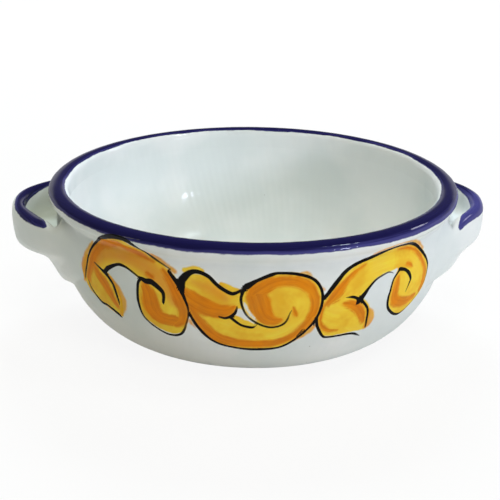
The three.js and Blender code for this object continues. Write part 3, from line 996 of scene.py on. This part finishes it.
# %% Plan and mesh of the rim
rim_corner_rows, rim_corner_columns = grid_squares(*rim_shape, True, True)
rim_squares = (rim_corner_rows % rim_shape[0]) * rim_shape[1] + rim_corner_columns % rim_shape[1]
loop_length = rim_run[-1] + math.dist(RIM_ROWS[-1], RIM_ROWS[0])
QUARTERS = 4
quarter_columns = math.ceil(rim_shape[1] / QUARTERS)
quarter = rim_corner_columns[:, :1] // quarter_columns
quarter_start = wide_angles[quarter * quarter_columns]
quarter_end = wide_angles[np.minimum((quarter + 1) * quarter_columns, rim_shape[1])]
rim_u = (wide_angles[rim_corner_columns] - quarter_start) / (quarter_end - quarter_start)
rim_v = np.append(rim_run, loop_length)[rim_corner_rows] / loop_length
strip_height = (1 - MARGIN) / QUARTERS
rim_v = MARGIN + strip_height * quarter + (strip_height - MARGIN) * rim_v
rim_plan = np.stack([MARGIN + (1 - 2 * MARGIN) * rim_u, rim_v], -1)
rim = make_piece("blue_rolled_rim", rim_points, [rim_squares], [rim_plan], rim_measures, rim_glaze)
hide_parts("rim_roll")

# %% [markdown]
# ## The ear handles
# Each ear is a strap of clay that was pressed to the wall along its lower edge and pinched in at both
# ends, so that it leaves a trough for the fingertips. It could be carved with a sculpting brush. Here it is
# a section carried round the dish: a few control points give the tail, the face, the crest and the trough,
# and a B-spline rounds them as wet clay rounds. Towards the ends the trough's floor rises, the crest melts
# into a slope, and all of it sinks into the wall. The two ears were made by hand and differ, so each has
# its own sizes.

# %% Sizes of the two ears
EAR_STATIONS = 141
EAR_ROWS = 112
STRAP_THICKNESS = 8.4
GLAZE_RISE = 0.7
LEFT_EAR = {
    "facing": -np.pi / 2, "forward": 1, "reach": LEFT_REACH, "crest": LEFT_CREST + GLAZE_RISE,
    # degrees: how far the middle lies behind the side, and the spans to the front end and the back end
    "lean": 3.5, "front_span": 42.0, "back_span": 33.0,
    # drop of the crest towards the two ends, the tail's swell, the front end's pinch and added breadth
    "front_sag": 0.5, "back_sag": 3.4, "tail": 9.0, "pinch": 0.0, "broad": 4.0,
    # depth of the trough, and shares of the span where its floor rises and where the crest melts
    "trough": 20.0, "rise": (0.78, 0.35), "melt": (0.48, 0.74),
    # depths below the crest of the tail's tip, of the waist under the face, and of the face
    "tip": 51.5, "waist": 28.2, "face": 24.2,
    # how much deeper glaze and painted shade darken the trough, and how much thinner paint and painted sheen
    # lighten the blue
    "shaded_pool_share": 1.0, "thin": 0.0,
    # blue stroke: degrees ahead of the side, half width, and distance out from the crest's middle
    "stroke": [(-30, 1.6, 0.3), (-18, 2.6, 0), (-9, 4.0, -1.8), (0, 5.0, -3.0), (8, 5.8, -2.8),
               (14, 5.4, -1.8), (18, 4.0, -0.2), (21.5, 2.2, 1.2)],
}
RIGHT_EAR = {
    "facing": np.pi / 2, "forward": -1, "reach": RIGHT_REACH, "crest": RIGHT_CREST + GLAZE_RISE,
    "lean": 5.0, "front_span": 37.0, "back_span": 33.0,
    "front_sag": 12.0, "back_sag": 1.0, "tail": 11.7, "pinch": 0.45, "broad": 1.0,
    "trough": 14.0, "rise": (0.74, 0.2), "melt": (0.45, 0.72),
    "tip": 42.5, "waist": 28.0, "face": 19.4, "shaded_pool_share": 0.15, "thin": 0.75,
    "stroke": [(-30, 1.6, 0.3), (-18, 2.6, 0.3), (-7, 4.8, -0.2), (2, 6.0, 0.2), (8, 4.8, 1.0),
               (12.5, 3.1, 2.4), (16.2, 1.9, 4.0)],
}
print("reach of the ears:", round(LEFT_EAR["reach"], 1), round(RIGHT_EAR["reach"], 1))

# %% Crest of an ear
END_THICKNESS = 0.12
# shares of the span over which the strap thickens and over which the front end is pinched
THICK_SPAN, PINCH_SPAN = (0.95, 0.5), (0.2, 0.65)
JUST_SHORT = 1e-9


def around_dish(ahead, ear):
    """Angle round the dish for degrees ahead of the side that an ear is on."""
    return ear["facing"] + ear["forward"] * np.radians(ahead)


def rounded(controls, samples):
    """Uniform cubic B-spline of each row of control points: every place is a weighted mean of four."""
    padded = np.concatenate([controls[:, :1]] * 2 + [controls] + [controls[:, -1:]] * 2, axis=1)
    place = np.linspace(0, padded.shape[1] - 3 - JUST_SHORT, samples)
    first = place.astype(int)
    t = (place - first)[None, :, None]
    weights = [(1 - t) ** 3, 3 * t**3 - 6 * t**2 + 4, -3 * t**3 + 3 * t**2 + 3 * t + 1, t**3]
    return sum(weight * padded[:, first + k] for k, weight in enumerate(weights)) / 6


def ear_crest(ahead, ear):
    """At angles ahead of the side, in degrees: the share of the span, the swell, which is the squared cosine
    of a quarter turn times that share, the strap's thickness, its middle's offset and the crest's height."""
    from_middle = ahead + ear["lean"]
    share = np.where(from_middle > 0, from_middle / ear["front_span"], -from_middle / ear["back_span"])
    share = np.clip(share, 0, 1)
    swell = np.cos(np.pi / 2 * share) ** 2
    thickness = STRAP_THICKNESS * blend(END_THICKNESS, 1, ease(share, *THICK_SPAN))
    middle = (ear["reach"] - STRAP_THICKNESS / 2) * swell
    middle *= 1 - np.where(from_middle > 0, ear["pinch"], 0) * ease(share, *PINCH_SPAN)
    top = ear["crest"] - np.where(from_middle > 0, ear["front_sag"], ear["back_sag"]) * share**2
    return share, swell, thickness, middle, top


print("height of the left crest at its front end:", round(float(ear_crest(38.5, LEFT_EAR)[4]), 1))

# %% Section of an ear
SHALLOWEST = 0.4
END_TIP, END_WAIST, END_FACE = 22.0, 13.0, 6.0
# powers of the swell that the depths below the crest and the tail follow
DEPTH_POWER, TAIL_POWER = 0.6, 0.7
# shares of the span: where the face fills out, the front end is broad, and the ends sink and spread evenly
FACE_SPAN, BROAD_SPAN, SINK_SPAN, SPREAD_SPAN = (1.0, 0.8), (0.1, 0.4), (0.8, 1.0), (1.0, 0.86)
SUNK = 0.25
MELT_BELOW, MELT_ABOVE = 7.0, 10.0
SQUEEZE = 0.4
FIRST_MELTING = 9


def ear_section(ahead, ear):
    """Control points, as distance out from the wall and height: up the tail, the waist and the face, over
    the crest, down into the trough, and up the wall again. Towards the ends the crest and the trough melt
    into one slope, an S-curve from the face to the wall, and heights under the rim are squeezed."""
    share, swell, thickness, middle, top = ear_crest(ahead, ear)
    depth_share = swell**DEPTH_POWER
    out = middle + thickness / 2 * ease(share, *FACE_SPAN)
    broad = ear["broad"] * ease(share, *BROAD_SPAN) * (ahead + ear["lean"] > 0)
    inner = np.maximum(middle - thickness / 2 - broad, SUNK * swell)
    tail = ear["tail"] * swell**TAIL_POWER
    tip = top - blend(END_TIP, ear["tip"], depth_share)
    waist = top - blend(END_WAIST, ear["waist"], depth_share)
    face = top - blend(END_FACE, ear["face"], depth_share)
    trough = SHALLOWEST + ear["trough"] * ease(share, *ear["rise"])
    floor = top - trough
    wall = np.full_like(out, -SUNK)
    controls = [
        (wall, tip - 9), (wall, tip - 5), (0.5 * wall, tip - 1), (0.75 * tail, tip + 1), (tail, tip + 6),
        (1.1 * tail, blend(tip, waist, 0.75)), (blend(tail, out, 0.35), waist),
        (blend(tail, out, 0.85), blend(waist, face, 0.45)), (out, face), (out, blend(face, top, 0.5)),
        (out, top - 0.5 * thickness), (out - 0.12 * thickness, top - 0.11 * thickness),
        (out - 0.5 * thickness, top + 0.06 * thickness), (blend(out, inner, 0.88), top - 0.11 * thickness),
        (inner, top - 0.5 * thickness), (inner, blend(top, floor, 0.75)), (0.85 * inner, floor),
        (0.45 * inner, floor - 0.04 * trough), (0.08 * inner, floor + 0.06 * trough),
        (0.4 * wall, floor + 4.5), (0.8 * wall, floor + 8.5), (wall, floor + 12.5),
    ]
    section = np.stack([np.stack(pair, -1) for pair in controls], 1)
    melting = section[:, FIRST_MELTING:]
    rise = np.linspace(0, 1, melting.shape[1])
    slope = np.stack([
        blend(out[:, None], -SUNK, ease(rise, 0, 1)),
        (top - MELT_BELOW)[:, None] + (MELT_BELOW + MELT_ABOVE) * rise,
    ], -1)
    section[:, FIRST_MELTING:] = blend(melting, slope, ease(share, *ear["melt"])[:, None, None])
    section[..., 0] -= SUNK * ease(share, *SINK_SPAN)[:, None]
    even = np.linspace(0, 1, section.shape[1])
    level = section[:, :1, 1] + (section[:, -1:, 1] - section[:, :1, 1]) * even
    section[..., 1] = blend(level, section[..., 1], ease(share, *SPREAD_SPAN)[:, None])
    above = np.maximum(section[..., 1] - SEAT_HEIGHT, 0)
    section[..., 1] -= (1 - SQUEEZE) * above
    return section


print("control points of a section:", ear_section(np.zeros(1), LEFT_EAR).shape[1])

# %% [markdown]
# The ear is closed behind by a second sheet that lies inside the wall, where nobody sees it. The two
# sheets share the points round their edge. The blue stroke follows the crest and thins out at its ends.

# %% Sheets and measures of an ear
CLOSING_DEPTH = 1.5
BOW = 16
# rows and ends of the trough's painted shade and deeper glaze
SHADED_POOL_STARTS, SHADED_POOL_STOPS, SHADED_POOL_ENDS = (0.64, 0.74), (1.0, 0.9), (0.85, 0.5)
# run along the stroke over which the right ear's blue turns lighter: dry brush and painted sheen
DRY_AND_SHEEN_FROM, DRY_AND_SHEEN_FULL = 35, 70
UP = np.linspace(0, 1, EAR_ROWS)[:, None]
ALONG = np.linspace(0, 1, EAR_STATIONS)


def ear_sheets(ahead, ear):
    """The seen sheet is the rounded section carried round the dish. The hidden one runs straight from the
    section's first point to its last, and bows inwards: it is deepest wherever it is clear of its edges."""
    skin = rounded(ear_section(ahead, ear), EAR_ROWS).transpose(1, 0, 2)
    offset, height = skin[..., 0], skin[..., 1]
    angle = np.broadcast_to(around_dish(ahead, ear), height.shape)
    bow = np.minimum(1, BOW * UP * (1 - UP)) * np.minimum(1, BOW * ALONG * (1 - ALONG))
    hidden_height = blend(height[:1], height[-1:], UP)
    hidden_offset = blend(offset[:1], offset[-1:], UP) - CLOSING_DEPTH * bow
    seen = placed(outside_radius(height) + offset, angle, height)
    return seen, placed(outside_radius(hidden_height) + hidden_offset, angle, hidden_height)


def ear_measures(points, ahead, ear):
    """Measures of the blue stroke along the crest, thinner where the brush ran dry and lighter as painted
    sheen, and of the trough's deeper glaze and painted shade, which lie on the rows of the trough and fade
    out towards the ends."""
    stroke_ahead, half, aside = smooth_path(ear["stroke"]).T
    middle, top = ear_crest(stroke_ahead, ear)[3:]
    drop = aside**2 / STRAP_THICKNESS
    crest_line = placed(outside_radius(top) + middle + aside, around_dish(stroke_ahead, ear), top - drop)
    clear, side, _, run = stroke_measures(points, crest_line, half)
    shaded_pool = ear["shaded_pool_share"] * ease(UP, *SHADED_POOL_STARTS) * ease(UP, *SHADED_POOL_STOPS)
    shaded_pool = shaded_pool * ease(ear_crest(ahead, ear)[0], *SHADED_POOL_ENDS)
    shaded_pool = np.concatenate([shaded_pool.ravel(), np.zeros(len(points) - shaded_pool.size)])
    thin = ear["thin"] * ease(run, DRY_AND_SHEEN_FROM, DRY_AND_SHEEN_FULL)
    return {"blue_clear": clear, "blue_along": run, "blue_across": side, "blue_thin": thin, "shaded_pool": shaded_pool}


print("rows and stations of an ear:", EAR_ROWS, EAR_STATIONS)

# %% Build the ears
SEEN_PART, HIDDEN_START, HIDDEN_PART = 0.8, 0.82, 0.175


def build_ear(name, ear, replaced):
    """Both sheets as one closed mesh: points on the shared edge keep the seen sheet's numbers."""
    ahead = np.linspace(-ear["lean"] - ear["back_span"], ear["front_span"] - ear["lean"], EAR_STATIONS)
    ahead = ahead[:: ear["forward"]]
    seen, hidden = ear_sheets(ahead, ear)
    row, column = np.indices((EAR_ROWS, EAR_STATIONS))
    inner = (row % (EAR_ROWS - 1) > 0) & (column % (EAR_STATIONS - 1) > 0)
    seen_number = row * EAR_STATIONS + column
    hidden_number = seen_number.copy()
    hidden_number[inner] = row.size + np.arange(int(inner.sum()))
    points = np.vstack([seen.reshape(-1, 3), hidden[inner]])
    rows, columns = grid_squares(EAR_ROWS, EAR_STATIONS, False, False)
    faces = [seen_number[rows, columns], hidden_number[rows, columns][:, ::-1]]
    u = blend(MARGIN, 1 - MARGIN, columns / (EAR_STATIONS - 1))
    v = rows / (EAR_ROWS - 1)
    seen_plan = np.stack([u, MARGIN + SEEN_PART * v], -1)
    hidden_plan = np.stack([u, HIDDEN_START + HIDDEN_PART * v], -1)[:, ::-1]
    measures = ear_measures(points, ahead, ear)
    piece = make_piece(name, points, faces, [seen_plan, hidden_plan], measures, handle_glaze)
    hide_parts(*replaced)


build_ear("left_ear", LEFT_EAR, ["left_handle", "left_slip_joint"])
build_ear("right_ear", RIGHT_EAR, ["right_handle", "right_slip_joint"])

# %% [markdown]
# ## The camera
# The dish was seen from a little above, from about 0.7 metres, with the camera turned by almost a degree.
# A lens could be guessed by eye. These values come from matching the rim's ellipse, so they stay as they are.

# %% Camera
CAMERA_PLACE = Vector((0.0, -669.1, 296.8)) * MM
CAMERA_AIM = Vector((-1.35, 0.0, 42.4)) * MM
CAMERA_ROLL = math.radians(0.9)
CAMERA_LENS, CAMERA_SENSOR = 81.65, 36.0
camera = add_object("camera", bpy.data.cameras.new("camera"))
camera.data.sensor_width = CAMERA_SENSOR
camera.data.lens = CAMERA_LENS
camera.location = CAMERA_PLACE
camera.rotation_mode = "QUATERNION"
look = (CAMERA_AIM - CAMERA_PLACE).to_track_quat("-Z", "Y")
camera.rotation_quaternion = look @ Quaternion((0, 0, 1), CAMERA_ROLL)
bpy.context.scene.camera = camera
print("camera distance in mm:", round(CAMERA_PLACE.length / MM))

# %% [markdown]
# ## Light, floor and background
# The dish stood by a window on its right, with a pale room all round. A picture of a room could light it,
# but plain soft lamps do as well: three for the window, and five for the walls and the ceiling. The widest
# leave no shape in the gloss, because a room's walls don't stand out in it as bright squares. The floor is
# pale and keeps the shadow. The camera and reflections see white round about and a darker ceiling.

# %% Lamps
LAMPS = [
    # name, degrees from the front towards the right, degrees up, width in mm, watts, colour
    ("window_front", 48, 14, 350, 23.0, (0.79, 0.84, 1.0)),
    ("window_high", 75, 58, 350, 10.0, (0.82, 0.95, 1.0)),
    ("window_back", 115, 35, 350, 6.0, (0.85, 0.85, 1.0)),
    ("room_behind", 180, 42, 900, 54.0, (0.78, 0.88, 1.0)),
    ("room_above", 0, 60, 900, 15.0, (1.0, 0.97, 0.8)),
    ("room_left", -75, 35, 250, 1.2, (1.0, 0.96, 0.55)),
    ("room_top", 0, 85, 900, 13.0, (0.92, 0.96, 1.0)),
    ("room_left_behind", -130, 45, 600, 3.5, (1.0, 0.95, 0.6)),
]
LAMP_DISTANCE = 2500
LAMP_AIM = Vector((0, 0, 50)) * MM
MIRRORED_UP_TO = 500
for label, around, up, width, watts, tint in LAMPS:
    lamp = bpy.data.lights.new(label, "AREA")
    lamp.size = width * MM
    lamp.energy = watts
    lamp.color = tint
    stand = add_object(label, lamp)
    bearing, climb = math.radians(around), math.radians(up)
    level = math.cos(climb)
    towards = Vector((level * math.sin(bearing), -level * math.cos(bearing), math.sin(climb)))
    stand.location = towards * LAMP_DISTANCE * MM
    stand.rotation_mode = "QUATERNION"
    stand.rotation_quaternion = (LAMP_AIM - stand.location).to_track_quat("-Z", "Y")
    stand.visible_camera = False
    stand.visible_glossy = width < MIRRORED_UP_TO
print("lamps:", [lamp[0] for lamp in LAMPS])

# %% World
SKY = (0.02, 0.02, 0.02, 1.0)
PURE_WHITE = (1.0, 1.0, 1.0, 1.0)
CEILING = (0.2, 0.2, 0.2, 1.0)
WHITE_UP_TO, CEILING_FROM = (math.sin(math.radians(degrees)) for degrees in (8.0, 18.0))


def seen_directly(tree):
    """1 for rays from the camera, from a mirror or through glass, and 0 for rays that only carry light."""
    rays = tree.nodes.new("ShaderNodeLightPath").outputs
    seen = Signal(tree, rays["Is Camera Ray"])
    for kind in ("Is Glossy Ray", "Is Transmission Ray"):
        seen = seen.largest(Signal(tree, rays[kind]))
    return seen


world = bpy.data.worlds.new("pale_room")
bpy.context.scene.world = world
world.use_nodes = True
world_tree = world.node_tree
direction = Signal(world_tree, world_tree.nodes.new("ShaderNodeTexCoord").outputs["Generated"])
upward = direction.node("ShaderNodeSeparateXYZ", None, {0: direction}, output=2)
room = upward.ease(WHITE_UP_TO, CEILING_FROM).mix(PURE_WHITE, CEILING)
sky = seen_directly(world_tree).mix(SKY, room)
world_tree.links.new(sky.socket, world_tree.nodes["Background"].inputs["Color"])
print("nodes of the world:", len(world_tree.nodes))

# %% Floor
FLOOR_HALF = 3000.0
FLOOR_COLOUR = (0.80, 0.785, 0.73, 1.0)
FLOOR_GLOW = 0.9
floor_mesh = bpy.data.meshes.new("pale_floor")
corners = np.array([(-1, -1, 0), (1, -1, 0), (1, 1, 0), (-1, 1, 0)]) * FLOOR_HALF * MM
floor_mesh.from_pydata(corners.tolist(), [], [(0, 1, 2, 3)])
floor = add_object("pale_floor", floor_mesh)
floor_finish = bpy.data.materials.new("pale_floor")
floor_finish.use_nodes = True
floor_tree = floor_finish.node_tree
floor_tree.nodes.remove(floor_tree.nodes["Principled BSDF"])
floor_seen = seen_directly(floor_tree)
matt = floor_seen.node("ShaderNodeBsdfDiffuse", None, {"Color": FLOOR_COLOUR})
glow = floor_seen.node("ShaderNodeEmission", None, {"Color": PURE_WHITE})
floor_shader = floor_seen.node("ShaderNodeMixShader", None, {0: floor_seen * FLOOR_GLOW, 1: matt, 2: glow})
floor_tree.links.new(floor_shader.socket, floor_tree.nodes["Material Output"].inputs["Surface"])
floor_mesh.materials.append(floor_finish)
bpy.context.scene.view_settings.view_transform = "Standard"
print("floor is", 2 * FLOOR_HALF * MM, "m wide")
